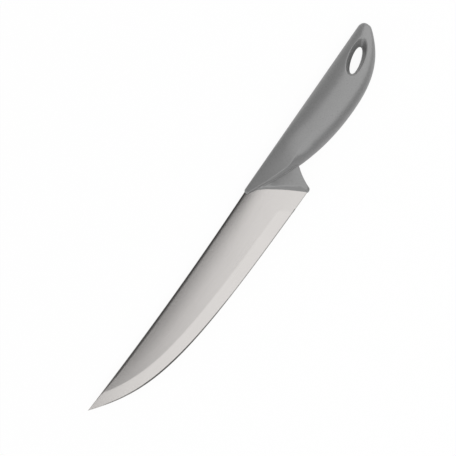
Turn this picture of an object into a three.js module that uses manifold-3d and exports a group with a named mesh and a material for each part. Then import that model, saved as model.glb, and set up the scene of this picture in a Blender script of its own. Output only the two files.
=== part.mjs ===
// Slicing knife lying on its side, in millimetres.
// +X runs from the tip to the butt, +Y to the spine and +Z up.
// A stamped steel blade carries a hidden tang. A core is moulded round the tang, and the outer
// handle, with its finger guard and hanging hole, is moulded round the core and the blade's heel.
// While it is drawn, the origin is on the handle's spine line, where the blade's spine goes in.

import * as THREE from "three";
import { mergeVertices } from "three/addons/utils/BufferGeometryUtils.js";
import Module from "manifold-3d";

const wasm = await Module();
wasm.setup();

// Fit between the moulded pieces and what they are moulded round
const CLEARANCE = 0.3;

// Blade
const BLADE_LENGTH = 190; // tip to the handle's front, along X
const BLADE_HEIGHT = 36.5; // spine to cutting edge at the heel
const BLADE_THICKNESS = 2.5;
const SPINE_STEP = 0.85; // blade's spine below the handle's spine line
const TIP_RISE = 2.8; // tip above the spine at the handle
const SPINE_SAG = 1.8; // hollow of the spine under a straight line from handle to tip
const EDGE_THICKNESS = 0.3;
const BEVEL_WIDTH = 8.9;
const BEVEL_RUN_OUT = 13; // length over which the bevel dies out
const RICASSO_LENGTH = 11; // unground length between the bevel and the heel
const SPINE_CHAMFER_WIDTH = 1.6;
const SPINE_CHAMFER_DEPTH = 0.5;
const HEEL_ANGLE = 0.75; // rise of the cutting edge at the heel, degrees
const TIP_ANGLE = 38.7; // rise of the cutting edge at the tip, degrees
const HEEL_TENSION = 0.668; // how far the heel's direction holds, as a share of heel to tip
const TIP_TENSION = 0.232;

// Tang, hidden in the handle
const TANG_HEIGHT = 10;
const TANG_DROP = 9; // tang's middle line below the spine line, at the handle's front
const TANG_ANGLE = 3.5; // fall of the tang towards the butt, degrees
const TANG_ROOT = 15; // where the tang leaves the heel, behind the handle's front
const TANG_SHOULDER = 3; // spine's length inside the handle before it falls to the tang
const TANG_FILLET = 3;
const TANG_HOLE_DIAMETER = 5;
const TANG_HOLE_PITCH = 22;
const TANG_HOLE_COUNT = 2;
const TANG_HOLE_END = 15; // last hole from the tang's end

// Handle's outline and thickness
const HANDLE_LENGTH = 145.2;
const HANDLE_DEPTH = 31.3;
const HANDLE_THICKNESS = 17;
const DEEPEST_AT = 89.8; // deepest point of the belly, behind the handle's front
const THICKEST_AT = 85;
const BUTT_RADIUS = 5.05;
const BUTT_THICKNESS = 8;
const BUTT_ROUNDING = 2.6; // length over which the thickness closes at the butt
const BUTT_ANGLE = 51.4; // rise of the belly where it meets the butt, degrees
const NOSE_OVERHANG = 1.45; // nose in front of the place where the spine goes in
const NOSE_RADIUS = 2.65;
const NOSE_THICKNESS = 6;
const NOSE_ROUNDING = 2.5;
const CHIN_RADIUS = 1.6; // round under the nose
const CHIN_ANGLE = 24; // fall of the lower line behind that round, degrees
const SECTION_POWER = 2.8; // 2 is an ellipse, and more is squarer
const NOSE_POWER = 1.6; // how the thickness falls from the palm to the nose: 1 is straight
const BUTT_POWER = 2; // and to the butt

// How far each direction of the lower line holds, as a share of its front or back stretch
const CHIN_TENSION = 0.15;
const BELLY_FRONT_TENSION = 0.56;
const BELLY_BACK_TENSION = 0.43;
const BUTT_TENSION = 0.43;

// Finger guard under the handle's front
const GUARD_THICKNESS = 6.4;
const GUARD_EDGE_RADIUS = 1.8;
const GUARD_TIP_RADIUS = 2.4;
const GUARD_TIP_AT = 25.5; // guard's tip behind the handle's front
const GUARD_DROP = 0.5; // guard's tip below the cutting edge
const GUARD_TOP_AT = 3.2; // upper end of the guard's front, behind the handle's front
const GUARD_FRONT_BOW = 0.5;
const GUARD_BACK_BOW = 0.1;
const GUARD_BACK = 35.8; // where the guard's back meets the belly, behind the handle's front

// Hanging hole
const HOLE_LENGTH = 20.6;
const HOLE_WIDTH = 6.8;
const HOLE_ANGLE = 15; // rise of its long axis towards the butt, degrees
const HOLE_FROM_BUTT = 25.3;
const HOLE_DROP = 12.45; // centre below the spine line
const HOLE_FLARE_ENDS = 4.15; // widening at each face, at the oval's ends
const HOLE_FLARE_SIDES = 2.5; // and at its sides
const HOLE_RIM_BACK = 1.45; // rim's middle behind the throat's
const HOLE_RIM_UP = 1.2; // and towards the spine
const HOLE_LAND = 1.5; // half height of the straight throat
const HOLE_WALL = 4; // plastic between the hole and the core

// Core moulded on the tang
const CORE_WALL = 4; // outer handle's wall round the core
const CORE_FRONT = 38; // behind the handle's front
const ANCHOR_LENGTH = 16; // core behind the tang's end
const ANCHOR_DIAMETER = 6.6; // window that the outer handle's post fills

// Fineness of the meshes
const RING_POINTS = 28;
const CURVE_STEPS = 14;
const EDGE_STEPS = 36;
const RUN_OUT_STEPS = 8;
const HOLE_POINTS = 32;
const SMALL_HOLE_POINTS = 20;
const FILLET_STEPS = 3;

// Reach of the hanging hole's cutter past the handle's widest faces
const HOLE_MARGIN = 1;

const radians = THREE.MathUtils.degToRad;
const at = (x, y) => new THREE.Vector2(x, y);
const heading = (degrees) => at(Math.cos(radians(degrees)), Math.sin(radians(degrees)));
const step = (from, degrees, length) => from.clone().addScaledVector(heading(degrees), length);

// Solids

function toSolid(geometry) {
  const bare = geometry.clone();
  bare.deleteAttribute("normal");
  bare.deleteAttribute("uv");
  const merged = mergeVertices(bare);
  return new wasm.Manifold(
    new wasm.Mesh({
      numProp: 3,
      vertProperties: new Float32Array(merged.attributes.position.array),
      triVerts: new Uint32Array(merged.index.array),
    }),
  );
}

function toGeometry(solid) {
  const mesh = solid.getMesh();
  const geometry = new THREE.BufferGeometry();
  geometry.setAttribute("position", new THREE.BufferAttribute(mesh.vertProperties, mesh.numProp));
  geometry.setIndex(new THREE.BufferAttribute(mesh.triVerts, 1));
  geometry.computeVertexNormals();
  return geometry;
}

// Closed skin over a row of rings, each turning anticlockwise about the row's direction
function loft(rings, first, last) {
  const count = rings[0].length;
  const points = [...rings.flat(), first, last];
  const firstCap = points.length - 2;
  const lastCap = points.length - 1;
  const lastRing = (rings.length - 1) * count;
  const index = [];
  for (let k = 0; k < count; k++) {
    const next = (k + 1) % count;
    for (let row = 0; row < lastRing; row += count) {
      index.push(row + k, row + next, row + count + next);
      index.push(row + k, row + count + next, row + count + k);
    }
    index.push(firstCap, next, k);
    index.push(lastCap, lastRing + k, lastRing + next);
  }
  const geometry = new THREE.BufferGeometry().setFromPoints(points);
  geometry.setIndex(index);
  return toSolid(geometry);
}

// Middle of a ring, which caps a flat end
function middle(ring) {
  const sum = ring.reduce((total, point) => total.add(point), new THREE.Vector3());
  return sum.divideScalar(ring.length);
}

// Flat plate about the plane z = 0, with round holes given as [centre, radius]
function plate(outline, thickness, holes = [], edgeRadius = 0) {
  const shape = new THREE.Shape(outline);
  for (const [centre, radius] of holes) {
    shape.holes.push(new THREE.Path().absarc(centre.x, centre.y, radius, 0, 2 * Math.PI));
  }
  const geometry = new THREE.ExtrudeGeometry(shape, {
    depth: thickness - 2 * edgeRadius,
    bevelEnabled: edgeRadius > 0,
    bevelSize: edgeRadius,
    bevelOffset: -edgeRadius,
    bevelThickness: edgeRadius,
    bevelSegments: FILLET_STEPS,
    curveSegments: SMALL_HOLE_POINTS,
  });
  geometry.translate(0, 0, edgeRadius - thickness / 2);
  return toSolid(geometry);
}

// Upright round bar through the plane z = 0
function roundBar(centre, radius, height) {
  const geometry = new THREE.CylinderGeometry(radius, radius, height, SMALL_HOLE_POINTS);
  geometry.rotateX(Math.PI / 2);
  geometry.translate(centre.x, centre.y, 0);
  return toSolid(geometry);
}

// Path moved to the left of its direction by a distance, with mitred corners
function shifted(path, distance, closed) {
  const run = (a, b) => b.clone().sub(a).normalize();
  const last = path.length - 1;
  return path.map((point, i) => {
    const starts = !closed && i === 0;
    const ends = !closed && i === last;
    const after = ends ? run(path[i - 1], point) : run(point, path[i === last ? 0 : i + 1]);
    const before = starts ? after : run(path.at(i - 1), point);
    const normal = at(-before.y - after.y, before.x + after.x);
    return point.clone().addScaledVector(normal, distance / (1 + before.dot(after)));
  });
}

// Blade's curves

// The heel goes into the guard by a quarter of the guard's width there
const spineEnd = at(0, -SPINE_STEP);
const tip = at(-BLADE_LENGTH, TIP_RISE - SPINE_STEP);
const guardTip = at(GUARD_TIP_AT, GUARD_TIP_RADIUS - GUARD_DROP - SPINE_STEP - BLADE_HEIGHT);
const heel = at(GUARD_TIP_AT - GUARD_TIP_RADIUS / 2, -SPINE_STEP - BLADE_HEIGHT);
const heelToTip = heel.distanceTo(tip);

const edgeCurve = new THREE.CubicBezierCurve(
  heel,
  step(heel, 180 - HEEL_ANGLE, HEEL_TENSION * heelToTip),
  step(tip, -TIP_ANGLE, TIP_TENSION * heelToTip),
  tip,
);
const spineMiddle = tip.clone().add(spineEnd).divideScalar(2);
const spineCurve = new THREE.QuadraticBezierCurve(
  tip,
  spineMiddle.sub(at(0, 2 * SPINE_SAG)),
  spineEnd,
);

// Cutting edge from heel to tip, with more points where the bevel runs out
function edgePoints() {
  const speed = 3 * HEEL_TENSION * heelToTip;
  const runOutShare = (RICASSO_LENGTH + BEVEL_RUN_OUT) / speed;
  const points = [];
  for (let i = 0; i < RUN_OUT_STEPS; i++) {
    points.push(edgeCurve.getPoint((runOutShare * i) / RUN_OUT_STEPS));
  }
  for (let i = 0; i <= EDGE_STEPS; i++) {
    points.push(edgeCurve.getPoint(runOutShare + ((1 - runOutShare) * i) / EDGE_STEPS));
  }
  return points;
}

// Wedge that widens into the blade on the right of a path, to trim the blade to its bevels.
// The path runs on straight past both ends, and halfOn gives the half thickness on the path.
function wedge(path, halfOn, slope) {
  const runOn = (from, to) => to.clone().addScaledVector(to.clone().sub(from).normalize(), HANDLE_LENGTH);
  const points = [runOn(path[1], path[0]), ...path, runOn(path.at(-2), path.at(-1))];
  const outside = EDGE_THICKNESS / 4;
  const inside = 2 * BLADE_HEIGHT;
  const near = shifted(points, outside, false);
  const far = shifted(points, -inside, false);
  const rings = points.map((point, i) => {
    const nearHalf = halfOn(point) - outside * slope;
    const farHalf = halfOn(point) + inside * slope;
    return [
      new THREE.Vector3(near[i].x, near[i].y, -nearHalf),
      new THREE.Vector3(near[i].x, near[i].y, nearHalf),
      new THREE.Vector3(far[i].x, far[i].y, farHalf),
      new THREE.Vector3(far[i].x, far[i].y, -farHalf),
    ];
  });
  return loft(rings, middle(rings[0]), middle(rings.at(-1)));
}

// Half thickness on the cutting edge: thin along the bevel and full over the ricasso
function edgeHalf(point) {
  const thin = EDGE_THICKNESS / 2;
  const full = BLADE_THICKNESS / 2 + EDGE_THICKNESS;
  const fromHeel = heel.x - point.x;
  const rise = THREE.MathUtils.clamp((fromHeel - RICASSO_LENGTH) / BEVEL_RUN_OUT, 0, 1);
  return thin + (full - thin) * (1 - Math.sqrt(1 - (1 - rise) ** 2));
}

// Handle's outline

const nose = at(-NOSE_OVERHANG, -NOSE_RADIUS);
const chinCentre = step(nose, 0, CHIN_RADIUS);
const chin = step(chinCentre, -90 - CHIN_ANGLE, CHIN_RADIUS);
const belly = at(DEEPEST_AT, -HANDLE_DEPTH);
const buttCentre = at(HANDLE_LENGTH - BUTT_RADIUS, -BUTT_RADIUS);
const buttJoin = step(buttCentre, BUTT_ANGLE - 90, BUTT_RADIUS);
const front = belly.x - chin.x;
const back = buttJoin.x - belly.x;

// Points of an anticlockwise arc between two directions, in degrees
function arc(centre, radius, from, to) {
  const curve = new THREE.EllipseCurve(centre.x, centre.y, radius, radius, radians(from), radians(to));
  return curve.getPoints(FILLET_STEPS + 2);
}

// Under the nose, along the belly and round the butt
const lowerLine = [
  ...arc(chinCentre, CHIN_RADIUS, 180, 270 - CHIN_ANGLE),
  ...new THREE.CubicBezierCurve(
    chin,
    step(chin, -CHIN_ANGLE, CHIN_TENSION * front),
    step(belly, 180, BELLY_FRONT_TENSION * front),
    belly,
  ).getPoints(CURVE_STEPS).slice(1),
  ...new THREE.CubicBezierCurve(
    belly,
    step(belly, 0, BELLY_BACK_TENSION * back),
    step(buttJoin, BUTT_ANGLE + 180, BUTT_TENSION * back),
    buttJoin,
  ).getPoints(CURVE_STEPS).slice(1),
  ...arc(buttCentre, BUTT_RADIUS, BUTT_ANGLE - 90, 0).slice(1),
];

// Height of a quarter round of a given radius, at a distance from its end
function quarterRound(fromEnd, radius) {
  const left = THREE.MathUtils.clamp(1 - fromEnd / radius, 0, 1);
  return Math.sqrt(1 - left ** 2);
}

const fromNose = (x) => x - nose.x;
const fromButt = (x) => HANDLE_LENGTH - x;

function topAt(x) {
  const noseTop = NOSE_RADIUS * (quarterRound(fromNose(x), NOSE_RADIUS) - 1);
  const buttTop = BUTT_RADIUS * (quarterRound(fromButt(x), BUTT_RADIUS) - 1);
  return noseTop + buttTop;
}

function bottomAt(x) {
  const after = lowerLine.findIndex((point, i) => i > 0 && point.x >= x);
  const [a, b] = lowerLine.slice(after - 1, after + 1);
  return THREE.MathUtils.mapLinear(x, a.x, b.x, a.y, b.y);
}

const middleAt = (x) => (topAt(x) + bottomAt(x)) / 2;

// Half thickness of the handle: thickest in the palm, thinner to both ends, and closed round there
function halfAt(x) {
  const toNose = [nose.x, NOSE_THICKNESS, NOSE_POWER];
  const toButt = [HANDLE_LENGTH, BUTT_THICKNESS, BUTT_POWER];
  const [end, thickness, power] = x < THICKEST_AT ? toNose : toButt;
  const share = (x - THICKEST_AT) / (end - THICKEST_AT);
  const full = HANDLE_THICKNESS - (HANDLE_THICKNESS - thickness) * share ** power;
  const rounding = quarterRound(fromNose(x), NOSE_ROUNDING) * quarterRound(fromButt(x), BUTT_ROUNDING);
  return (full / 2) * rounding;
}

// Section across the handle, moved in by a wall
function sectionRing(x, top, bottom, wall = 0) {
  const height = (top - bottom) / 2 - wall;
  const half = halfAt(x) - wall;
  const bend = (value) => Math.sign(value) * Math.abs(value) ** (2 / SECTION_POWER);
  return Array.from({ length: RING_POINTS }, (_, k) => {
    const angle = (2 * Math.PI * k) / RING_POINTS;
    const y = (top + bottom) / 2 + height * bend(Math.cos(angle));
    return new THREE.Vector3(x, y, half * bend(Math.sin(angle)));
  });
}

function handleBody() {
  const inner = lowerLine.slice(1, -1);
  const rings = inner.map((point) => sectionRing(point.x, topAt(point.x), point.y));
  const end = lowerLine.at(-1);
  return loft(rings, new THREE.Vector3(nose.x, nose.y, 0), new THREE.Vector3(end.x, end.y, 0));
}

// Control point of a curve that bows off its chord, to the left of its direction
function bowControl(from, to, bow) {
  const chord = to.clone().sub(from);
  const side = at(-chord.y, chord.x).normalize();
  return from.clone().add(to).divideScalar(2).addScaledVector(side, 2 * bow);
}

const curveThrough = (a, control, b) => new THREE.QuadraticBezierCurve(a, control, b).getPoints(CURVE_STEPS);

// Plate under the handle's front: a bowed front, a round tip and a hollow back, each running
// smoothly into the next, and an upper end that is buried in the handle
function guard() {
  const top = at(GUARD_TOP_AT, bottomAt(GUARD_TOP_AT) + GUARD_EDGE_RADIUS);
  const back = at(GUARD_BACK, bottomAt(GUARD_BACK));
  const across = guardTip.clone().sub(top).normalize().rotateAround(at(0, 0), Math.PI / 2);
  const buriedFront = top.clone().addScaledVector(across, 3 * GUARD_EDGE_RADIUS);
  const buriedBack = at(GUARD_BACK, middleAt(GUARD_BACK));
  const frontControl = bowControl(top, guardTip, GUARD_FRONT_BOW);
  const backControl = bowControl(guardTip, back, GUARD_BACK_BOW);
  const toTip = guardTip.clone().sub(frontControl);
  const fromTip = backControl.clone().sub(guardTip);
  const frontTurn = toTip.angle() - Math.asin(GUARD_TIP_RADIUS / toTip.length()) - Math.PI / 2;
  const backTurn = fromTip.angle() + Math.asin(GUARD_TIP_RADIUS / fromTip.length()) + 1.5 * Math.PI;
  const round = new THREE.EllipseCurve(
    guardTip.x,
    guardTip.y,
    GUARD_TIP_RADIUS,
    GUARD_TIP_RADIUS,
    frontTurn,
    backTurn,
  ).getPoints(CURVE_STEPS);
  const outline = [
    ...curveThrough(top, frontControl, round[0]),
    ...round.slice(1, -1),
    ...curveThrough(round.at(-1), backControl, back),
    buriedBack,
    buriedFront,
  ];
  return plate(outline, GUARD_THICKNESS, [], GUARD_EDGE_RADIUS);
}

// Hanging hole, core and tang, placed from the butt forwards

const holeCentre = at(HANDLE_LENGTH - HOLE_FROM_BUTT, -HOLE_DROP);
const coreBack = holeCentre.x - HOLE_LENGTH / 2 - HOLE_FLARE_ENDS - HOLE_WALL;
const tangEnd = coreBack - ANCHOR_LENGTH;
const anchorX = coreBack - ANCHOR_LENGTH / 2;
const anchor = at(anchorX, middleAt(anchorX));

function hangingHole() {
  const faces = HANDLE_THICKNESS / 2;
  const flareHeight = halfAt(holeCentre.x) - HOLE_LAND;
  const heights = [-faces - HOLE_MARGIN, -HOLE_LAND, HOLE_LAND, faces + HOLE_MARGIN];
  const rings = heights.map((z) => {
    const flare = (Math.abs(z) - HOLE_LAND) / flareHeight;
    const halfLength = HOLE_LENGTH / 2 + HOLE_FLARE_ENDS * flare;
    const halfWidth = HOLE_WIDTH / 2 + HOLE_FLARE_SIDES * flare;
    return Array.from({ length: HOLE_POINTS }, (_, k) => {
      const angle = (2 * Math.PI * k) / HOLE_POINTS;
      const along = halfLength * Math.cos(angle) + HOLE_RIM_BACK * flare;
      const across = halfWidth * Math.sin(angle) + HOLE_RIM_UP * flare;
      const point = step(step(holeCentre, HOLE_ANGLE, along), HOLE_ANGLE + 90, across);
      return new THREE.Vector3(point.x, point.y, z);
    });
  });
  return loft(rings, middle(rings[0]), middle(rings.at(-1)));
}

// Point on the tang's run, at a distance from the handle's front and off its middle line
function onTang(along, across) {
  return step(step(at(0, -TANG_DROP), -TANG_ANGLE, along), 90 - TANG_ANGLE, across);
}

const tangHoles = Array.from({ length: TANG_HOLE_COUNT }, (_, i) => {
  return onTang(tangEnd - TANG_HOLE_END - i * TANG_HOLE_PITCH, 0);
});

// Steel seen from the side, clockwise from the heel
function steelOutline() {
  const half = TANG_HEIGHT / 2;
  const endCentre = onTang(tangEnd - half, 0);
  const tangRound = new THREE.EllipseCurve(
    endCentre.x,
    endCentre.y,
    half,
    half,
    radians(90 - TANG_ANGLE),
    radians(-90 - TANG_ANGLE),
    true,
  ).getPoints(CURVE_STEPS);
  const corner = onTang(TANG_ROOT, -half);
  const rearRun = heel.clone().sub(corner).normalize();
  const fillet = new THREE.QuadraticBezierCurve(
    onTang(TANG_ROOT + TANG_FILLET, -half),
    corner,
    corner.clone().addScaledVector(rearRun, TANG_FILLET),
  ).getPoints(FILLET_STEPS);
  return [
    ...edgePoints(),
    ...spineCurve.getPoints(EDGE_STEPS).slice(1),
    at(TANG_SHOULDER, -SPINE_STEP),
    onTang(TANG_SHOULDER + half, half),
    ...tangRound,
    ...fillet,
  ];
}

// Blade, core and handle

function blade() {
  const holes = tangHoles.map((centre) => [centre, TANG_HOLE_DIAMETER / 2]);
  const bevelSlope = (BLADE_THICKNESS - EDGE_THICKNESS) / 2 / BEVEL_WIDTH;
  const chamferSlope = SPINE_CHAMFER_DEPTH / SPINE_CHAMFER_WIDTH;
  const spineHalf = BLADE_THICKNESS / 2 - SPINE_CHAMFER_DEPTH;
  const spinePath = spineCurve.getPoints(EDGE_STEPS);
  return plate(steelOutline(), BLADE_THICKNESS, holes)
    .intersect(wedge(edgePoints(), edgeHalf, bevelSlope))
    .intersect(wedge(spinePath, () => spineHalf, chamferSlope));
}

// Room for the steel, with the plastic that fills the tang's holes left standing
function steelRoom() {
  const plugs = tangHoles.map((centre) => [centre, TANG_HOLE_DIAMETER / 2 - CLEARANCE]);
  return plate(shifted(steelOutline(), CLEARANCE, true), BLADE_THICKNESS + 2 * CLEARANCE, plugs);
}

// Core's outer shape, or the room for it when it grows by the clearance
function coreBody(growth) {
  const rings = Array.from({ length: CURVE_STEPS + 1 }, (_, i) => {
    const x = THREE.MathUtils.lerp(CORE_FRONT - growth, coreBack + growth, i / CURVE_STEPS);
    return sectionRing(x, topAt(x), bottomAt(x), CORE_WALL - growth);
  });
  return loft(rings, middle(rings[0]), middle(rings.at(-1)));
}

function core() {
  const window = roundBar(anchor, ANCHOR_DIAMETER / 2, HANDLE_THICKNESS);
  return coreBody(0).subtract(steelRoom()).subtract(window);
}

function handle() {
  const post = roundBar(anchor, ANCHOR_DIAMETER / 2 - CLEARANCE, HANDLE_THICKNESS);
  const coreRoom = coreBody(CLEARANCE).subtract(post);
  return handleBody()
    .add(guard())
    .subtract(steelRoom())
    .subtract(coreRoom)
    .subtract(hangingHole());
}

function piece(name, solid, colour, roughness, metalness) {
  const material = new THREE.MeshStandardMaterial({ color: colour, roughness, metalness });
  const mesh = new THREE.Mesh(toGeometry(solid), material);
  mesh.name = name;
  return mesh;
}

const knife = new THREE.Group();
knife.add(piece("blade", blade(), 0xc9cacc, 0.3, 1));
knife.add(piece("handle_core", core(), 0x5c5d5f, 0.6, 0));
knife.add(piece("handle", handle(), 0x6f7072, 0.5, 0));

// The origin ends up under the middle of the knife, on the surface that it lies on
const box = new THREE.Box3().setFromObject(knife);
const centre = box.getCenter(new THREE.Vector3());
knife.position.set(-centre.x, -centre.y, -box.min.z);

export default knife;
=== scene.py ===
import math

import bpy
import numpy as np
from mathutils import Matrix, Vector


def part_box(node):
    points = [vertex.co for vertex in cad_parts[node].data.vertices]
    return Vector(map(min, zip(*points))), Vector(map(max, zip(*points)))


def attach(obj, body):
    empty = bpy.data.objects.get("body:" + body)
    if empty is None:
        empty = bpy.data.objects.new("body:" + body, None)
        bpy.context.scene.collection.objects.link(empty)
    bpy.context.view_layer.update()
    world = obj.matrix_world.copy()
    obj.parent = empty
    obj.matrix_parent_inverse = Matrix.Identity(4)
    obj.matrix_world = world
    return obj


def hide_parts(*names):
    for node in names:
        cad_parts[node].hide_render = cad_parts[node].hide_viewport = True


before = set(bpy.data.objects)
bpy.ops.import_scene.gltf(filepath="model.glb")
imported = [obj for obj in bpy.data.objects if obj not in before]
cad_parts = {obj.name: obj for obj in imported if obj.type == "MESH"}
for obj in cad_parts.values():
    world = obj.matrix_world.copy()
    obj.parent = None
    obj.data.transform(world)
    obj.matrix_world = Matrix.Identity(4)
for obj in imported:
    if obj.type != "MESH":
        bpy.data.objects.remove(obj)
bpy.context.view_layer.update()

# Slicing knife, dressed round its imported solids.
# Shapes are worked out in millimetres, and become metres when a mesh is made.
# x = 0 is where the blade's spine goes into the handle, and +x points to the butt.
# y = 0 is the handle's straight spine, and z = 0 is the blade's middle plane.
MM = 0.001
BLADE_LOW, BLADE_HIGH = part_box("blade")
HANDLE_LOW, HANDLE_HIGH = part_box("handle")

# Measures of the blade
BLADE_HEIGHT = 36.5
BLADE_THICKNESS = 2.5
SPINE_STEP = 0.85  # blade's spine below the handle's
SPINE_SAG = 1.8
BEVEL_WIDTH = 8.9
BEVEL_SOFTNESS = 0.08  # half width of the small facet on the bevel's shoulder
BEVEL_RUN_OUT = 13.0  # length over which the bevel fades towards the heel
RICASSO_LENGTH = 11.0  # unground length at the heel
HEEL_ANGLE = 0.75  # slope of the cutting edge at the heel
TIP_ANGLE = 38.7  # and at the tip
HEEL_TENSION = 0.668  # how far its curve follows those slopes, as shares of its span
TIP_TENSION = 0.232
HONED_AT = (-180.0, -150.0, -130.0, -60.0)  # places along the blade
HONED_WIDTHS = (0.6, 1.1, 1.15, 0.6)  # narrow steep facet that makes the edge sharp, at those places
HONED_PAINTED_SHADE = (0.9, 1.0, 0.85, 0.4)  # painted shade on that facet, as a darker base colour, at those places
HONED_SHOULDER = 0.55  # half thickness where it starts
HONED_HALF = 0.02  # and at the edge
CROWN_WIDTH = 18.0  # strip along the spine that is ground off in a curve
CROWN_SHARE = 0.75  # of the flat side, where that is narrow
CROWN_LEAST = 0.01  # keeps its width above 0 at the tip
CROWN_AT = (-127.0, -99.0, -70.0, -42.0, -20.0, 0.0)  # places along the blade
CROWN_DROPS = (0.42, 0.42, 0.38, 0.46, 0.53, 0.62)  # what the crown takes off at the spine, at those places
CROWN_POWERS = (2.2, 2.4, 2.5, 2.6, 3.0, 3.8)  # how late it starts to fall
SPINE_ROUND = 1.9  # depth of the round that closes the blade's back
TIP_TAPER = 1.5  # length over which the tip thins to a point
TIP_LEAST = 0.1  # share of the thickness that is left there
BACK_TURN = (0.1, 0.7)  # turn of the round, in radians, over which painted shade comes in on the back
PAINTED_SHADE_DEPTH = (6.0, 11.0)  # where the blade is shallower, at the tip, it gets no painted shade

# Most that the blade's forms take of its depth, where that is small
HONED_MOST = 0.2
BEVEL_MOST = 0.85
SOFTNESS_MOST = 0.05
SPINE_ROUND_MOST = 0.1

# Measures of the handle
HANDLE_LENGTH = 145.2
HANDLE_DEPTH = 31.3
HANDLE_THICKNESS = (HANDLE_HIGH.z - HANDLE_LOW.z) / MM
DEEPEST_AT = 89.8
THICKEST_AT = 85.0
NOSE_RIDGE, PALM_RIDGE = 0.78, 0.5  # thickest line, as a share of the depth
RIDGE_RISE = (28.0, 54.0)  # where it goes from one to the other
UPPER_POWERS = (4.5, 4.5, 3.2, 2.5, 2.5, 3.0)  # how square the sections are above that line
UPPER_AT = (20.0, 45.0, 63.0, 95.0, 115.0, 140.0)
LOWER_POWERS = (4.5, 3.0, 2.5, 2.1, 3.3, 4.0)  # and below it
LOWER_AT = (28.0, 36.0, 44.0, 56.0, 105.0, 140.0)
UPPER_LEAN, LOWER_LEAN = 0.32, 0.57  # how the sides above and below it lean in at the nose
UPPER_LEAN_FADE = (10.0, 55.0)  # where they stop leaning
LOWER_LEAN_FADE = (33.0, 52.0)
SLIM_LEAST = 0.1  # least share of the thickness that the lean leaves
RIDGE_SOFTNESS = (0.015, 0.15)  # how softly they meet at the nose, and behind it
RIDGE_SOFTENING = (30.0, 52.0)  # where the one turns to the other
NOSE = (-1.45, -2.65)  # foremost point
CHIN_RADIUS = 1.6  # round under the nose
CHIN_ANGLE = -24.0  # fall of the lower line behind it
CHIN_TENSION = 0.15  # pull at the ends of the lower line's curves, as shares of their lengths
BELLY_FRONT_TENSION = 0.56
BELLY_BACK_TENSION = 0.43
BUTT_TENSION = 0.43
NOSE_THICKNESS = 4.4
NOSE_TAPER = 1.6  # power of the taper to the nose
NOSE_ROUNDING = 2.5  # length over which the sides close there
BUTT_RADIUS = 5.05
BUTT_ANGLE = 51.4  # rise of the lower line where it meets the butt's round
BUTT_THICKNESS = 8.0
BUTT_ROUNDING = 2.6
END_CLEAR = 0.01  # sections are taken this far inside both ends

# Measures of the finger guard
GUARD_THICKNESS = 7.0
GUARD_FRONT_REACH = (5.2, 3.5)  # round of its front edge across the plate, at the tip and at the grip
GUARD_FRONT_RADIUS = 2.9  # and through the plate
GUARD_FRONT_POWER = 1.35  # fuller than a bevel, which is 1, and flatter than a round, which is 2
GUARD_BACK_RADIUS = 1.0
GUARD_BACK_POWER = 2.0
GUARD_BACK_FROM = (-2.0, 3.0)  # where the front's round turns to the back's, from the tip's centre
GUARD_FLAT_LEAST = 0.05  # half of the plate's thickness that is left between the rounds
GUARD_TIP_RADIUS = 2.5
GUARD_TAPER = 0.6  # fall of its sides from the tip to the grip
GUARD_TAPER_POWER = 3
GUARD_TAPER_END = 1.22  # share of the way to the grip's lower line where that fall ends
GUARD_CROWN = 0.25  # fall of its sides towards the edges
GUARD_CROWN_WIDTH = 7.0
GUARD_TIP_AT = 25.1
GUARD_DROP = 0.49  # tip below the blade's heel
GUARD_TOP_AT = 0.3  # where the front line goes into the grip
GUARD_FRONT_BOW = 0.9  # how far the front line and the back line bow in
GUARD_BACK_BOW = 0.1
GUARD_BACK = 35.8  # where the back line meets the grip
GUARD_TOP_INSET = 1.0  # how far the outline's top lies inside the grip
GUARD_BURIED = 8.0  # and how far its end goes in
GUARD_REACH = 12.0  # how far behind the guard its field is worked out
CREASE_BLEND = 0.2  # smoothing where the guard leaves the grip
NOSE_BLEND = 1.0  # and where it melts into the nose
CREASE_FROM = (3.0, 12.0)  # where the one turns to the other
CREASE_DEPTH = 0.35  # groove where the guard leaves the grip
CREASE_WIDTH = 0.7

# Measures of the hanging hole
HOLE_LENGTH = 20.6
HOLE_WIDTH = 6.8
HOLE_ANGLE = 15.0
HOLE_FROM_BUTT = 25.3
HOLE_DROP = 12.45
HOLE_CENTRE = (HANDLE_LENGTH - HOLE_FROM_BUTT, -HOLE_DROP)
HOLE_FLARE = (4.15, 2.5)  # along the hole and across it, at the faces
HOLE_FLARE_MOST = 2.0  # the flare goes on past the faces, up to this share
HOLE_RIM_SHIFT = (1.45, 1.2)  # rim's middle from the throat's, towards the butt and the spine
HOLE_LAND = 1.5  # half height of the straight throat
HOLE_RIM_BLEND = 0.5

# Fineness of the meshes
RIBS = 180
END_RIBS = 40  # of these, closer together at the heel, and as many at the tip
HEEL_PART, TIP_PART = 0.12, 0.1  # shares of the edge that they take
LAST_RIB = 0.02  # where the last rib stands in the tip's part, counted from the tip
TIP_CROWDING = 1.5  # power that draws the ribs to the tip
HONED_POINTS, BEVEL_POINTS, SIDE_POINTS, BACK_POINTS = 2, 9, 30, 9  # points of a rib
TANGENT_STEP = 1e-4
DEPTH_ROUNDS = 30
SHARP_TURN = 12.0  # blade edges that turn more than this stay sharp
NOSE_POINTS, GRIP_POINTS, BUTT_POINTS = 60, 600, 200  # points of the handle's lower line
GUARD_POINTS = 24  # points of each curve of the guard
SKIN_STEP = 0.37
SKIN_MARGIN = 3 * SKIN_STEP
NOSE_MARGIN = 1.0
EVEN_ROUNDS = 3
SETTLE_ROUNDS = 3
SETTLE_MOST = 0.4  # most that a point moves at once, as a share of the step
FIELD_STEP = 0.02  # step over which a field's slope is measured
STEEPNESS_LEAST = 1e-3
TINY = 1e-9
FAR_OUTSIDE = 1e3

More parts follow.
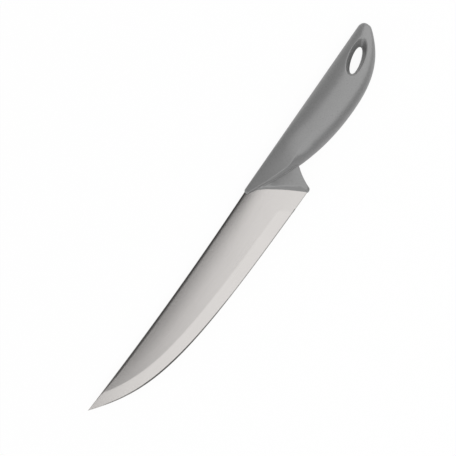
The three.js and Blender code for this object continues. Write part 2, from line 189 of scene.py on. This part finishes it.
# Where the design's origin lies in the frame
ORIGIN = Vector((
    HANDLE_HIGH.x - HANDLE_LENGTH * MM,
    HANDLE_HIGH.y,
    (BLADE_LOW.z + BLADE_HIGH.z) / 2,
))
TIP = np.array([BLADE_LOW.x - ORIGIN.x, BLADE_HIGH.y - ORIGIN.y]) / MM


def heading(degrees):
    """Direction at an angle from +x."""
    return np.array([math.cos(math.radians(degrees)), math.sin(math.radians(degrees))])


def bezier(points, t):
    """Points of a Bezier curve at the shares t."""
    t = np.asarray(t, float)[:, None]
    level = [np.asarray(p, float)[None, :] for p in points]
    while len(level) > 1:
        level = [a * (1 - t) + b * t for a, b in zip(level, level[1:])]
    return level[0]


def smooth_share(value, start, end):
    """0 before start, 1 after end, and an even curve between them."""
    share = np.clip((value - start) / (end - start), 0, 1)
    return share * share * (3 - 2 * share)


def mesh_piece(name, points, faces, material):
    """A smooth mesh piece from points in millimetres."""
    mesh = bpy.data.meshes.new(name)
    mesh.from_pydata((np.asarray(points) * MM).tolist(), [], faces)
    mesh.validate()
    mesh.shade_smooth()
    mesh.materials.append(material)
    piece = bpy.data.objects.new(name, mesh)
    piece.location = ORIGIN
    bpy.context.scene.collection.objects.link(piece)
    return piece


# Shape of the blade

HEEL = np.array([GUARD_TIP_AT - GUARD_TIP_RADIUS / 2, -SPINE_STEP - BLADE_HEIGHT])
EDGE_SPAN = np.linalg.norm(HEEL - TIP)
EDGE_CURVE = (
    HEEL,
    HEEL + HEEL_TENSION * EDGE_SPAN * heading(180 - HEEL_ANGLE),
    TIP + TIP_TENSION * EDGE_SPAN * heading(-TIP_ANGLE),
    TIP,
)


def spine_height(x):
    """The spine's gentle sag, from the tip to the handle."""
    share = x / TIP[0]
    return -SPINE_STEP + (TIP[1] + SPINE_STEP) * share - 4 * SPINE_SAG * share * (1 - share)


def edge_half(x):
    """Half thickness beside the honed facet: thin along the bevel, full over the ricasso."""
    full = BLADE_THICKNESS / 2 + HONED_SHOULDER
    rise = smooth_share(HEEL[0] - x, RICASSO_LENGTH, RICASSO_LENGTH + BEVEL_RUN_OUT)
    return full + (HONED_SHOULDER - full) * rise


def edge_frames():
    """Points along the cutting edge, the directions from there into the blade, and its depths that way."""
    share = np.concatenate([
        np.linspace(0, HEEL_PART, END_RIBS, endpoint=False),
        np.linspace(HEEL_PART, 1 - TIP_PART, RIBS - 2 * END_RIBS, endpoint=False),
        1 - TIP_PART * np.linspace(1, LAST_RIB, END_RIBS) ** TIP_CROWDING,
    ])
    edge = bezier(EDGE_CURVE, share)
    after = bezier(EDGE_CURVE, np.minimum(share + TANGENT_STEP, 1))
    ahead = after - bezier(EDGE_CURVE, share - TANGENT_STEP)
    ahead /= np.linalg.norm(ahead, axis=1)[:, None]
    inward = np.stack([ahead[:, 1], -ahead[:, 0]], 1)
    depth = np.zeros(len(edge))
    for _ in range(DEPTH_ROUNDS):
        depth = (spine_height(edge[:, 0] + inward[:, 0] * depth) - edge[:, 1]) / inward[:, 1]
    return edge, inward, depth


def rib_profile(depth, edge, honed, crown_drop, crown_power):
    """Distance from the edge, half thickness and turn round the spine along one rib, from edge to spine."""
    half = BLADE_THICKNESS / 2
    bevel_slope = (half - HONED_SHOULDER) / BEVEL_WIDTH
    honed = min(honed, HONED_MOST * depth)
    shoulder = min(BEVEL_WIDTH, BEVEL_MOST * depth)
    soft = min(BEVEL_SOFTNESS, SOFTNESS_MOST * depth)
    rounding = min(SPINE_ROUND, SPINE_ROUND_MOST * depth)
    top = depth - rounding
    away = np.concatenate([
        np.linspace(0, honed, HONED_POINTS),
        np.linspace(honed + soft, shoulder - soft, BEVEL_POINTS),
        np.linspace(shoulder + soft, top, SIDE_POINTS),
    ])
    crown_width = np.clip(CROWN_SHARE * (depth - BEVEL_WIDTH), CROWN_LEAST, CROWN_WIDTH)
    turn = np.concatenate([np.zeros(len(away)), np.linspace(0, math.pi / 2, BACK_POINTS)[1:]])
    away = np.concatenate([away, top + rounding * np.sin(turn[len(away):])])
    crown = np.clip(1 - (depth - away) / crown_width, 0, 1)
    drop = crown_drop * (crown_width / CROWN_WIDTH) ** 2
    thick = np.minimum(edge + bevel_slope * away, half - drop * crown ** crown_power) * np.cos(turn)
    thick[0] = min(edge - HONED_SHOULDER + HONED_HALF, half - HONED_HALF)
    return away, thick, turn


def blade_rib(foot, inward, depth):
    """Points of one rib, right round the blade from its edge, and how much painted shade each of them gets.
    """
    away, thick, turn = rib_profile(
        depth,
        edge_half(foot[0]),
        np.interp(foot[0], HONED_AT, HONED_WIDTHS),
        np.interp(foot[0], CROWN_AT, CROWN_DROPS),
        np.interp(foot[0], CROWN_AT, CROWN_POWERS),
    )
    flat = foot + inward * away[:, None]
    thick = thick * np.clip((flat[:, 0] - TIP[0]) / TIP_TAPER, TIP_LEAST, 1)
    upper = np.column_stack([flat, thick])
    lower = np.column_stack([flat, -thick])[-2::-1]
    # Painted shade: the back's round and the honed facet get a darker base colour, which stands in for the
    # shade along the spine and the edge.
    shaded = smooth_share(turn, *BACK_TURN)
    shaded[:HONED_POINTS] = np.interp(foot[0], HONED_AT, HONED_PAINTED_SHADE)
    shaded *= smooth_share(depth, *PAINTED_SHADE_DEPTH)
    return np.concatenate([upper, lower]), np.concatenate([shaded, shaded[-2::-1]])


def blade_faces(rows, count):
    """Faces between rows of ribs with count points each, with a flat heel and a fan to the tip's point."""
    faces = []
    for row in range(rows - 1):
        a, b = row * count, (row + 1) * count
        for k in range(count):
            n = (k + 1) % count
            faces.append((a + k, a + n, b + n, b + k))
    last, tip = (rows - 1) * count, rows * count
    for k in range(count):
        faces.append((last + k, last + (k + 1) % count, tip))
    faces.append(tuple(range(count - 1, -1, -1)))
    return faces


def make_blade(material):
    """The steel that shows, with its heel inside the handle."""
    ribs = [blade_rib(*place) for place in zip(*edge_frames())]
    points = np.concatenate([ring for ring, _ in ribs] + [np.array([[*TIP, 0]])])
    painted_shade = np.concatenate([shaded for _, shaded in ribs] + [[0]])
    faces = blade_faces(len(ribs), len(ribs[0][0]))
    piece = mesh_piece("blade_steel", points, faces, material)
    piece.data.set_sharp_from_angle(angle=math.radians(SHARP_TURN))
    # This attribute carries painted shade, which the steel turns into a darker base colour.
    marks = piece.data.attributes.new("painted_shade", "FLOAT", "POINT")
    marks.data.foreach_set("value", painted_shade.astype(np.float32))
    return piece


# Shape of the handle

BELLY = np.array([DEEPEST_AT, -HANDLE_DEPTH])
BUTT_CENTRE = np.array([HANDLE_LENGTH - BUTT_RADIUS, -BUTT_RADIUS])
BUTT_JOIN = BUTT_CENTRE + BUTT_RADIUS * heading(BUTT_ANGLE - 90)


def lower_line():
    """Points of the handle's lower outline, from the nose to the butt."""
    t = np.linspace(0, 1, GRIP_POINTS)
    chin_centre = np.array(NOSE) + (CHIN_RADIUS, 0)
    turn = np.linspace(180, 270 + CHIN_ANGLE, NOSE_POINTS)
    nose = chin_centre + CHIN_RADIUS * np.array([heading(a) for a in turn])
    chin = nose[-1]
    front = BELLY[0] - chin[0]
    back = BUTT_JOIN[0] - BELLY[0]
    grip = bezier((
        chin,
        chin + CHIN_TENSION * front * heading(CHIN_ANGLE),
        BELLY - (BELLY_FRONT_TENSION * front, 0),
        BELLY,
    ), t)
    tail = bezier((
        BELLY,
        BELLY + (BELLY_BACK_TENSION * back, 0),
        BUTT_JOIN - BUTT_TENSION * back * heading(BUTT_ANGLE),
        BUTT_JOIN,
    ), t)
    turn = np.linspace(BUTT_ANGLE - 90, 0, BUTT_POINTS)
    end = BUTT_CENTRE + BUTT_RADIUS * np.array([heading(a) for a in turn])
    return np.concatenate([nose, grip[1:], tail[1:], end[1:]])


LOWER_LINE = lower_line()


def quarter_round(from_end, radius):
    """Rises from 0 to 1 over radius, as a quarter of a circle does."""
    return np.sqrt(1 - np.clip(1 - from_end / radius, 0, 1) ** 2)


def top_at(x):
    """Upper outline: straight, and round at both ends."""
    nose_radius = -NOSE[1]
    return nose_radius * (quarter_round(x - NOSE[0], nose_radius) - 1) + BUTT_RADIUS * (
        quarter_round(HANDLE_LENGTH - x, BUTT_RADIUS) - 1
    )


def bottom_at(x):
    """Lower outline."""
    return np.interp(x, LOWER_LINE[:, 0], LOWER_LINE[:, 1])


def half_at(x):
    """Half thickness: thickest in the palm, thinner to both ends, and closed round there."""
    to_nose = np.clip((THICKEST_AT - x) / (THICKEST_AT - NOSE[0]), 0, 1)
    to_butt = np.clip((x - THICKEST_AT) / (HANDLE_LENGTH - THICKEST_AT), 0, 1)
    full = (
        HANDLE_THICKNESS
        - (HANDLE_THICKNESS - NOSE_THICKNESS) * to_nose ** NOSE_TAPER
        - (HANDLE_THICKNESS - BUTT_THICKNESS) * to_butt ** 2
    )
    ends = quarter_round(x - NOSE[0], NOSE_ROUNDING) * quarter_round(HANDLE_LENGTH - x, BUTT_ROUNDING)
    return full / 2 * ends


def ridge_share(x):
    """Where the thickest line lies, as a share of the depth from the top."""
    return NOSE_RIDGE + (PALM_RIDGE - NOSE_RIDGE) * smooth_share(x, *RIDGE_RISE)


def grip_field(x, y, z):
    """Below 0 inside the grip, whose sections are rounded ovals."""
    inner = np.clip(x, NOSE[0] + END_CLEAR, HANDLE_LENGTH - END_CLEAR)
    top, bottom, half = top_at(inner), bottom_at(inner), half_at(inner)
    ridge = top + (bottom - top) * ridge_share(inner)
    above, below = top - ridge, ridge - bottom
    across = np.where(y > ridge, (y - ridge) / above, (ridge - y) / below)
    upper = UPPER_LEAN * (1 - smooth_share(inner, *UPPER_LEAN_FADE))
    lower = LOWER_LEAN * (1 - smooth_share(inner, *LOWER_LEAN_FADE))
    sharp, blunt = RIDGE_SOFTNESS
    soft = sharp + (blunt - sharp) * smooth_share(inner, *RIDGE_SOFTENING)
    off_ridge = np.hypot(across, soft) - soft
    slim = np.maximum(1 - np.where(y > ridge, upper, lower) * off_ridge, SLIM_LEAST)
    through = np.abs(z) / (half * slim)
    power = np.where(
        y > ridge,
        np.interp(inner, UPPER_AT, UPPER_POWERS),
        np.interp(inner, LOWER_AT, LOWER_POWERS),
    )
    ring = (across ** power + through ** power) ** (1 / power)
    skin = (ring - 1) * np.minimum(np.minimum(above, below), half) + np.abs(x - inner)
    return np.maximum(skin, x - HANDLE_LENGTH)


def bow_control(start, end, bow):
    """Control point of a curve that bows off its chord, to the left of its direction."""
    chord = end - start
    return (start + end) / 2 + 2 * bow * np.array([-chord[1], chord[0]]) / np.linalg.norm(chord)


def guard_outline():
    """Outline of the guard's plate: hollow front, round tip, hollow back, and an end buried in the grip."""
    centre = np.array([GUARD_TIP_AT, GUARD_TIP_RADIUS - GUARD_DROP - SPINE_STEP - BLADE_HEIGHT])
    top = np.array([GUARD_TOP_AT, bottom_at(GUARD_TOP_AT) + GUARD_TOP_INSET])
    back = np.array([GUARD_BACK, bottom_at(GUARD_BACK)])
    front_control = bow_control(top, centre, GUARD_FRONT_BOW)
    back_control = bow_control(centre, back, GUARD_BACK_BOW)

    def tangent(control, side):
        """Angle at the tip's centre of the point where the curve from control touches its round."""
        aim = control - centre
        reach = math.acos(GUARD_TIP_RADIUS / np.linalg.norm(aim))
        return math.degrees(math.atan2(aim[1], aim[0]) + side * reach)

    start, end = tangent(front_control, 1), tangent(back_control, -1) + 360
    turn = np.linspace(start, end, GUARD_POINTS)
    tip = centre + GUARD_TIP_RADIUS * np.array([heading(a) for a in turn])
    t = np.linspace(0, 1, GUARD_POINTS)
    front = bezier((top, front_control, tip[0]), t)
    rear = bezier((tip[-1], back_control, back), t)
    buried = np.array([[GUARD_BACK, back[1] + GUARD_BURIED], [GUARD_TOP_AT + GUARD_BURIED, top[1]]])
    return np.concatenate([front, tip[1:-1], rear, buried])


GUARD_OUTLINE = guard_outline()


def outline_distance(x, y, outline):
    """Distance to a closed outline, below 0 inside it."""
    nearest = np.full(x.shape, np.inf)
    inside = np.zeros(x.shape, bool)
    for (ax, ay), (bx, by) in zip(outline, np.roll(outline, -1, axis=0)):
        ex, ey = bx - ax, by - ay
        px, py = x - ax, y - ay
        share = np.clip((px * ex + py * ey) / (ex * ex + ey * ey), 0, 1)
        nearest = np.minimum(nearest, (px - share * ex) ** 2 + (py - share * ey) ** 2)
        if ay != by:
            inside ^= ((ay > y) != (by > y)) & (px < ex * py / ey)
    return np.where(inside, -1, 1) * np.sqrt(nearest)


def guard_field(x, y, z):
    """Below 0 inside the guard's plate, whose front edges are rounder than its back ones."""
    field = np.full(x.shape, FAR_OUTSIDE)
    near = x < GUARD_BACK + GUARD_REACH
    back = smooth_share(x[near], GUARD_TIP_AT + GUARD_BACK_FROM[0], GUARD_TIP_AT + GUARD_BACK_FROM[1])
    edge = outline_distance(x[near], y[near], GUARD_OUTLINE)
    lowest = GUARD_OUTLINE[:, 1].min()
    rise = np.clip((y[near] - lowest) / (bottom_at(GUARD_TIP_AT) - lowest), 0, GUARD_TAPER_END)
    fall = GUARD_CROWN * np.clip(1 + edge / GUARD_CROWN_WIDTH, 0, 1) ** 2
    half = GUARD_THICKNESS / 2 - fall - GUARD_TAPER * rise ** GUARD_TAPER_POWER
    reach = np.interp(rise, (0, 1), GUARD_FRONT_REACH)
    reach += (GUARD_BACK_RADIUS - reach) * back
    radius = GUARD_FRONT_RADIUS + (GUARD_BACK_RADIUS - GUARD_FRONT_RADIUS) * back
    radius = np.minimum(radius, half - GUARD_FLAT_LEAST)
    out = (edge + reach) * radius / reach
    up = np.abs(z[near]) - half + radius
    power = GUARD_FRONT_POWER + (GUARD_BACK_POWER - GUARD_FRONT_POWER) * back
    corner = (np.maximum(out, 0) ** power + np.maximum(up, 0) ** power) ** (1 / power)
    field[near] = np.minimum(np.maximum(out, up), 0) + corner - radius
    return field


def hole_field(x, y, z):
    """Below 0 inside the hanging hole, an oval throat that flares to both faces."""
    along, across = heading(HOLE_ANGLE), heading(HOLE_ANGLE + 90)
    px, py = x - HOLE_CENTRE[0], y - HOLE_CENTRE[1]
    face = half_at(HOLE_CENTRE[0])
    flare = np.clip((np.abs(z) - HOLE_LAND) / (face - HOLE_LAND), 0, HOLE_FLARE_MOST)
    long_half = HOLE_LENGTH / 2 + HOLE_FLARE[0] * flare
    wide_half = HOLE_WIDTH / 2 + HOLE_FLARE[1] * flare
    u = (px * along[0] + py * along[1] - HOLE_RIM_SHIFT[0] * flare) / long_half
    v = (px * across[0] + py * across[1] - HOLE_RIM_SHIFT[1] * flare) / wide_half
    return (np.hypot(u, v) - 1) * wide_half


def melt(a, b, blend):
    """Union of two fields with a fillet."""
    share = np.clip(0.5 + 0.5 * (b - a) / blend, 0, 1)
    return b * (1 - share) + a * share - blend * share * (1 - share)


def handle_field(points):
    """Below 0 inside the handle: the grip and the guard with a crease between them, less the hole."""
    x, y, z = points.T
    creased = smooth_share(x, *CREASE_FROM)
    blend = NOSE_BLEND + (CREASE_BLEND - NOSE_BLEND) * creased
    grip, guard = grip_field(x, y, z), guard_field(x, y, z)
    groove = CREASE_DEPTH * np.clip(1 - np.hypot(grip, guard) / CREASE_WIDTH, 0, 1)
    solid = melt(grip, guard, blend) + groove * creased
    return -melt(-solid, hole_field(x, y, z), HOLE_RIM_BLEND)


def surface_net(field, low, high, step):
    """Even quads over the skin of a field, by the surface-nets method."""
    axes = [np.arange(a, b + step, step) for a, b in zip(low, high)]
    grid = np.stack(np.meshgrid(*axes, indexing="ij"), -1)
    value = field(grid.reshape(-1, 3)).reshape(grid.shape[:3])
    inside = value < 0
    cells = np.array(value.shape) - 1
    total, count = np.zeros((cells.prod(), 3)), np.zeros(cells.prod())
    quads = []
    for axis in range(3):
        one, two = np.eye(3, dtype=int)[[(axis + 1) % 3, (axis + 2) % 3]]
        ahead = np.eye(3, dtype=int)[axis]
        span = tuple(slice(0, n - d) for n, d in zip(value.shape, ahead))
        next_span = tuple(slice(d, n) for n, d in zip(value.shape, ahead))
        start = np.argwhere(inside[span] != inside[next_span])
        a, b = value[tuple(start.T)], value[tuple((start + ahead).T)]
        crossing = grid[tuple(start.T)] + (a / (a - b) * step)[:, None] * ahead
        ring = [np.ravel_multi_index((start - off).T, cells) for off in (0 * one, one, one + two, two)]
        for cell in ring:
            np.add.at(total, cell, crossing)
            np.add.at(count, cell, 1)
        ring = np.stack(ring, 1)
        ring[b < 0] = ring[b < 0][:, ::-1]
        quads.append(ring)
    quads = np.concatenate(quads)
    used = np.flatnonzero(count)
    number = np.zeros(cells.prod(), int)
    number[used] = np.arange(len(used))
    return total[used] / count[used][:, None], number[quads]


def settle(points, field, step):
    """Moves points onto the skin of a field."""
    for _ in range(SETTLE_ROUNDS):
        value = field(points)
        gradient = np.stack([
            (field(points + d) - field(points - d)) / (2 * FIELD_STEP) for d in FIELD_STEP * np.eye(3)
        ], 1)
        move = (value / np.maximum((gradient ** 2).sum(1), STEEPNESS_LEAST))[:, None] * gradient
        length = np.linalg.norm(move, axis=1)[:, None]
        points = points - move * np.minimum(1, SETTLE_MOST * step / np.maximum(length, TINY))
    return points


def even_out(points, quads):
    """Moves each point halfway to the middle of its neighbours."""
    total, count = np.zeros_like(points), np.zeros(len(points))
    for k in range(4):
        a, b = quads[:, k], quads[:, (k + 1) % 4]
        for here, there in ((a, b), (b, a)):
            np.add.at(total, here, points[there])
            np.add.at(count, here, 1)
    return (points + total / count[:, None]) / 2


def make_handle(material):
    """The outer moulding, as one closed skin."""
    half = HANDLE_THICKNESS / 2
    lowest = -SPINE_STEP - BLADE_HEIGHT - GUARD_DROP
    low = np.array([NOSE[0] - NOSE_MARGIN, lowest, -half]) - SKIN_MARGIN
    high = np.array([HANDLE_LENGTH, 0, half]) + SKIN_MARGIN
    points, quads = surface_net(handle_field, low, high, SKIN_STEP)
    for _ in range(EVEN_ROUNDS):
        points = settle(even_out(points, quads), handle_field, SKIN_STEP)
    return mesh_piece("handle_skin", points, quads.tolist(), material)


# Materials; scales are per metre, and a bump is a strength and a height in metres

NOISE_DETAIL = 2.0
STEEL_TINTS = ((0.483, 0.466, 0.453), (0.513, 0.495, 0.483))
STEEL_CLOUD_SCALE = 30
STEEL_ROUGHNESS = (0.23, 0.29)
# Painted shade: the dark base colour put on the spine's round and the honed facet.
PAINTED_SHADE_TINT = (0.17, 0.165, 0.16)
BRUSHING_SCALE = 4000
BRUSHING_STRETCH = (0.004, 1, 1)  # long strokes along the blade
BRUSHING_BUMP = (0.03, 0.00001)

HANDLE_TINTS = ((0.168, 0.168, 0.168), (0.182, 0.182, 0.182))
HANDLE_ROUGHNESS = 0.28
CORE_TINTS = ((0.09, 0.09, 0.092), (0.11, 0.11, 0.112))
CORE_ROUGHNESS = 0.6
ROUGHNESS_SPREAD = 0.04  # to both sides
PLASTIC_CLOUD_SCALE = 60
PLASTIC_GLOSS = 1.0
PLASTIC_IOR = 1.6
GRAIN_SCALE = 3500
GRAIN_BUMP = (0.2, 0.00005)

MIX_COLOUR_A, MIX_COLOUR_B, MIX_COLOUR_OUT = 6, 7, 2  # a mix node's sockets for colours


def new_material(name):
    """A node material with its tree, its shader and its object coordinates."""
    material = bpy.data.materials.new(name)
    material.use_nodes = True
    tree = material.node_tree
    shader = tree.nodes["Principled BSDF"]
    coordinates = tree.nodes.new("ShaderNodeTexCoord").outputs["Object"]
    return material, tree, shader, coordinates


def noise(tree, coordinates, scale, stretch=(1, 1, 1)):
    """Noise over the object's coordinates, finer along an axis with a larger stretch."""
    mapping = tree.nodes.new("ShaderNodeMapping")
    mapping.inputs["Scale"].default_value = stretch
    tree.links.new(coordinates, mapping.inputs["Vector"])
    texture = tree.nodes.new("ShaderNodeTexNoise")
    texture.inputs["Scale"].default_value = scale
    texture.inputs["Detail"].default_value = NOISE_DETAIL
    tree.links.new(mapping.outputs["Vector"], texture.inputs["Vector"])
    return texture.outputs["Fac"]


def between(tree, share, low, high):
    """A number that runs from low to high as share goes from 0 to 1."""
    node = tree.nodes.new("ShaderNodeMapRange")
    node.inputs["To Min"].default_value = low
    node.inputs["To Max"].default_value = high
    tree.links.new(share, node.inputs["Value"])
    return node.outputs["Result"]


def slope(tree, value, span, levels):
    """A number that goes smoothly from one level to the other as value crosses span."""
    node = tree.nodes.new("ShaderNodeMapRange")
    node.interpolation_type = "SMOOTHSTEP"
    node.inputs["From Min"].default_value, node.inputs["From Max"].default_value = span
    node.inputs["To Min"].default_value, node.inputs["To Max"].default_value = levels
    tree.links.new(value, node.inputs["Value"])
    return node.outputs["Result"]


def combined(tree, operation, one, two):
    """Two numbers added, or the larger of them."""
    node = tree.nodes.new("ShaderNodeMath")
    node.operation = operation
    tree.links.new(one, node.inputs[0])
    tree.links.new(two, node.inputs[1])
    return node.outputs["Value"]


def tint(tree, share, low, high):
    """A colour that runs from low to high as share goes from 0 to 1."""
    ramp = tree.nodes.new("ShaderNodeValToRGB")
    ramp.color_ramp.elements[0].color = (*low, 1)
    ramp.color_ramp.elements[1].color = (*high, 1)
    tree.links.new(share, ramp.inputs["Fac"])
    return ramp.outputs["Color"]


def mark(tree, name, colour, marked_colour):
    """A colour that turns to marked_colour where the mesh's attribute of that name is 1."""
    node = tree.nodes.new("ShaderNodeAttribute")
    node.attribute_name = name
    mix = tree.nodes.new("ShaderNodeMix")
    mix.data_type = "RGBA"
    tree.links.new(node.outputs["Fac"], mix.inputs["Factor"])
    tree.links.new(colour, mix.inputs[MIX_COLOUR_A])
    mix.inputs[MIX_COLOUR_B].default_value = (*marked_colour, 1)
    return mix.outputs[MIX_COLOUR_OUT]


def bump(tree, shader, height, strength, distance):
    """Fine relief on the shader's surface."""
    node = tree.nodes.new("ShaderNodeBump")
    node.inputs["Strength"].default_value = strength
    node.inputs["Distance"].default_value = distance
    tree.links.new(height, node.inputs["Height"])
    tree.links.new(node.outputs["Normal"], shader.inputs["Normal"])


def steel_material():
    """Satin steel, brushed along the blade, with painted shade as a darker base colour where the mesh's
    attribute marks it.
    """
    material, tree, shader, coordinates = new_material("satin_steel")
    brushing = noise(tree, coordinates, BRUSHING_SCALE, BRUSHING_STRETCH)
    cloud = noise(tree, coordinates, STEEL_CLOUD_SCALE)
    shader.inputs["Metallic"].default_value = 1
    ground = tint(tree, cloud, *STEEL_TINTS)
    # Painted shade: the base colour darkens where the mesh's attribute marks it.
    tree.links.new(mark(tree, "painted_shade", ground, PAINTED_SHADE_TINT), shader.inputs["Base Color"])
    tree.links.new(between(tree, brushing, *STEEL_ROUGHNESS), shader.inputs["Roughness"])
    bump(tree, shader, brushing, *BRUSHING_BUMP)
    return material


def plastic_material(name, tints, rough):
    """Moulded plastic with a fine grain."""
    material, tree, shader, coordinates = new_material(name)
    grain = noise(tree, coordinates, GRAIN_SCALE)
    cloud = noise(tree, coordinates, PLASTIC_CLOUD_SCALE)
    roughness = between(tree, grain, rough - ROUGHNESS_SPREAD, rough + ROUGHNESS_SPREAD)
    tree.links.new(tint(tree, cloud, *tints), shader.inputs["Base Color"])
    tree.links.new(roughness, shader.inputs["Roughness"])
    shader.inputs["Specular IOR Level"].default_value = PLASTIC_GLOSS
    shader.inputs["IOR"].default_value = PLASTIC_IOR
    bump(tree, shader, grain, *GRAIN_BUMP)
    return material


# Stage; lamps and floor are in metres

PHOTO_TURN = -55.217  # camera's roll about the line of sight
PHOTO_CENTRE = (-28.2, -5.78)  # point of the design in the middle of the photo
PHOTO_WIDTH = 320.7  # width of the frame in the blade's plane
CAMERA_HEIGHT = 450.0
SENSOR_WIDTH = 36
CLIP_START, CLIP_END = 0.01, 20

SOFTBOX_HEIGHT = 1.2
SOFTBOX_TURN = -77.5
SOFTBOX_RIGHT = (-0.07, 0.8)  # reach to the left and right of the camera
SOFTBOX_UP = (-1.0, 1.6)  # and along the photo's height
SOFTBOX_RADIANCE = 1.3

FILL_HEIGHT = 1.9
FILL_SIZE = 2.4
FILL_RADIANCE = 0.57

WORLD_ZENITH = 0.2
WORLD_HORIZON = 0.65
WORLD_RISE = (0.05, 0.8)  # height of a direction, over which the horizon turns to the zenith
WORLD_END = 0.5  # added beyond the knife's two ends
BUTT_END = (0.35, 0.75)  # x of a direction, over which it comes in beyond the butt
TIP_END = (-0.65, -0.35)  # and fades again from beyond the tip

FLOOR_SIZE = 8.0
FLOOR_DROP = 0.0001  # floor below the knife, so that they don't share a plane
FLOOR_COLOUR = (0.95, 0.95, 0.95, 1)
FLOOR_GLOW = 0.94  # share of plain white in the floor as the camera sees it; the rest takes the shadow
FLOOR_GLOW_REFLECTED = 0.25  # and as gloss and glass see it


def make_camera():
    """A camera straight above the knife, at the photo's turn."""
    data = bpy.data.cameras.new("camera")
    data.sensor_width = SENSOR_WIDTH
    data.lens = data.sensor_width * CAMERA_HEIGHT / PHOTO_WIDTH
    data.clip_start, data.clip_end = CLIP_START, CLIP_END
    camera = bpy.data.objects.new("camera", data)
    camera.location = ORIGIN + Vector((*PHOTO_CENTRE, CAMERA_HEIGHT)) * MM
    camera.rotation_euler = (0, 0, math.radians(PHOTO_TURN))
    bpy.context.scene.collection.objects.link(camera)
    bpy.context.scene.camera = camera


def make_softbox():
    """The lamp overhead that the steel mirrors."""
    data = bpy.data.lights.new("softbox", "AREA")
    data.shape = "RECTANGLE"
    data.size = SOFTBOX_RIGHT[1] - SOFTBOX_RIGHT[0]
    data.size_y = SOFTBOX_UP[1] - SOFTBOX_UP[0]
    data.energy = SOFTBOX_RADIANCE * math.pi * data.size * data.size_y
    lamp = bpy.data.objects.new("softbox", data)
    right, up = heading(SOFTBOX_TURN), heading(SOFTBOX_TURN + 90)
    middle = right * sum(SOFTBOX_RIGHT) / 2 + up * sum(SOFTBOX_UP) / 2
    lamp.location = ORIGIN + Vector((*PHOTO_CENTRE, 0)) * MM + Vector((*middle, SOFTBOX_HEIGHT))
    lamp.rotation_euler = (0, 0, math.radians(SOFTBOX_TURN))
    lamp.visible_camera = False
    bpy.context.scene.collection.objects.link(lamp)


def make_fill():
    """A broad dim lamp overhead, which evens out the light and shows in no reflection."""
    data = bpy.data.lights.new("fill", "AREA")
    data.size = FILL_SIZE
    data.energy = FILL_RADIANCE * math.pi * FILL_SIZE ** 2
    lamp = bpy.data.objects.new("fill", data)
    lamp.location = (0, 0, FILL_HEIGHT)
    lamp.visible_camera = False
    lamp.visible_glossy = False
    bpy.context.scene.collection.objects.link(lamp)


def make_world():
    """Dim studio overhead, with paler walls, most beyond the knife's ends; the camera sees plain white."""
    world = bpy.data.worlds.new("studio")
    world.use_nodes = True
    tree = world.node_tree
    split = tree.nodes.new("ShaderNodeSeparateXYZ")
    tree.links.new(tree.nodes.new("ShaderNodeTexCoord").outputs["Generated"], split.inputs["Vector"])
    level = slope(tree, split.outputs["Z"], WORLD_RISE, (WORLD_HORIZON, WORLD_ZENITH))
    level = combined(tree, "ADD", level, slope(tree, split.outputs["X"], BUTT_END, (0, WORLD_END)))
    level = combined(tree, "ADD", level, slope(tree, split.outputs["X"], TIP_END, (WORLD_END, 0)))
    seen = tree.nodes.new("ShaderNodeLightPath").outputs["Is Camera Ray"]
    background = tree.nodes["Background"]
    tree.links.new(combined(tree, "MAXIMUM", level, seen), background.inputs["Strength"])
    background.inputs["Color"].default_value = (1, 1, 1, 1)
    bpy.context.scene.world = world


def floor_material():
    """A white floor that keeps the knife's faint shadow."""
    material = bpy.data.materials.new("white_floor")
    material.use_nodes = True
    tree = material.node_tree
    tree.nodes.remove(tree.nodes["Principled BSDF"])
    diffuse = tree.nodes.new("ShaderNodeBsdfDiffuse")
    diffuse.inputs["Color"].default_value = FLOOR_COLOUR
    glow = tree.nodes.new("ShaderNodeEmission")
    rays = tree.nodes.new("ShaderNodeLightPath")
    share = between(tree, rays.outputs["Is Camera Ray"], 0, FLOOR_GLOW)
    for kind in ("Is Glossy Ray", "Is Transmission Ray"):
        share = combined(tree, "MAXIMUM", share, between(tree, rays.outputs[kind], 0, FLOOR_GLOW_REFLECTED))
    mix = tree.nodes.new("ShaderNodeMixShader")
    tree.links.new(share, mix.inputs["Fac"])
    tree.links.new(diffuse.outputs["BSDF"], mix.inputs[1])
    tree.links.new(glow.outputs["Emission"], mix.inputs[2])
    tree.links.new(mix.outputs["Shader"], tree.nodes["Material Output"].inputs["Surface"])
    return material


def make_floor():
    """A wide floor just under the knife."""
    mesh = bpy.data.meshes.new("floor")
    half, low = FLOOR_SIZE / 2, -FLOOR_DROP
    corners = [(-half, -half, low), (half, -half, low), (half, half, low), (-half, half, low)]
    mesh.from_pydata(corners, [], [(0, 1, 2, 3)])
    mesh.materials.append(floor_material())
    floor = bpy.data.objects.new("floor", mesh)
    bpy.context.scene.collection.objects.link(floor)


make_camera()
make_softbox()
make_fill()
make_world()
make_floor()

blade = make_blade(steel_material())
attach(blade, "root")
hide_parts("blade")

handle = make_handle(plastic_material("grey_plastic", HANDLE_TINTS, HANDLE_ROUGHNESS))
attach(handle, "root")
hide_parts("handle")

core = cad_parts["handle_core"]
core.data.materials.clear()
core.data.materials.append(plastic_material("core_plastic", CORE_TINTS, CORE_ROUGHNESS))

bpy.context.scene.view_settings.view_transform = "Standard"
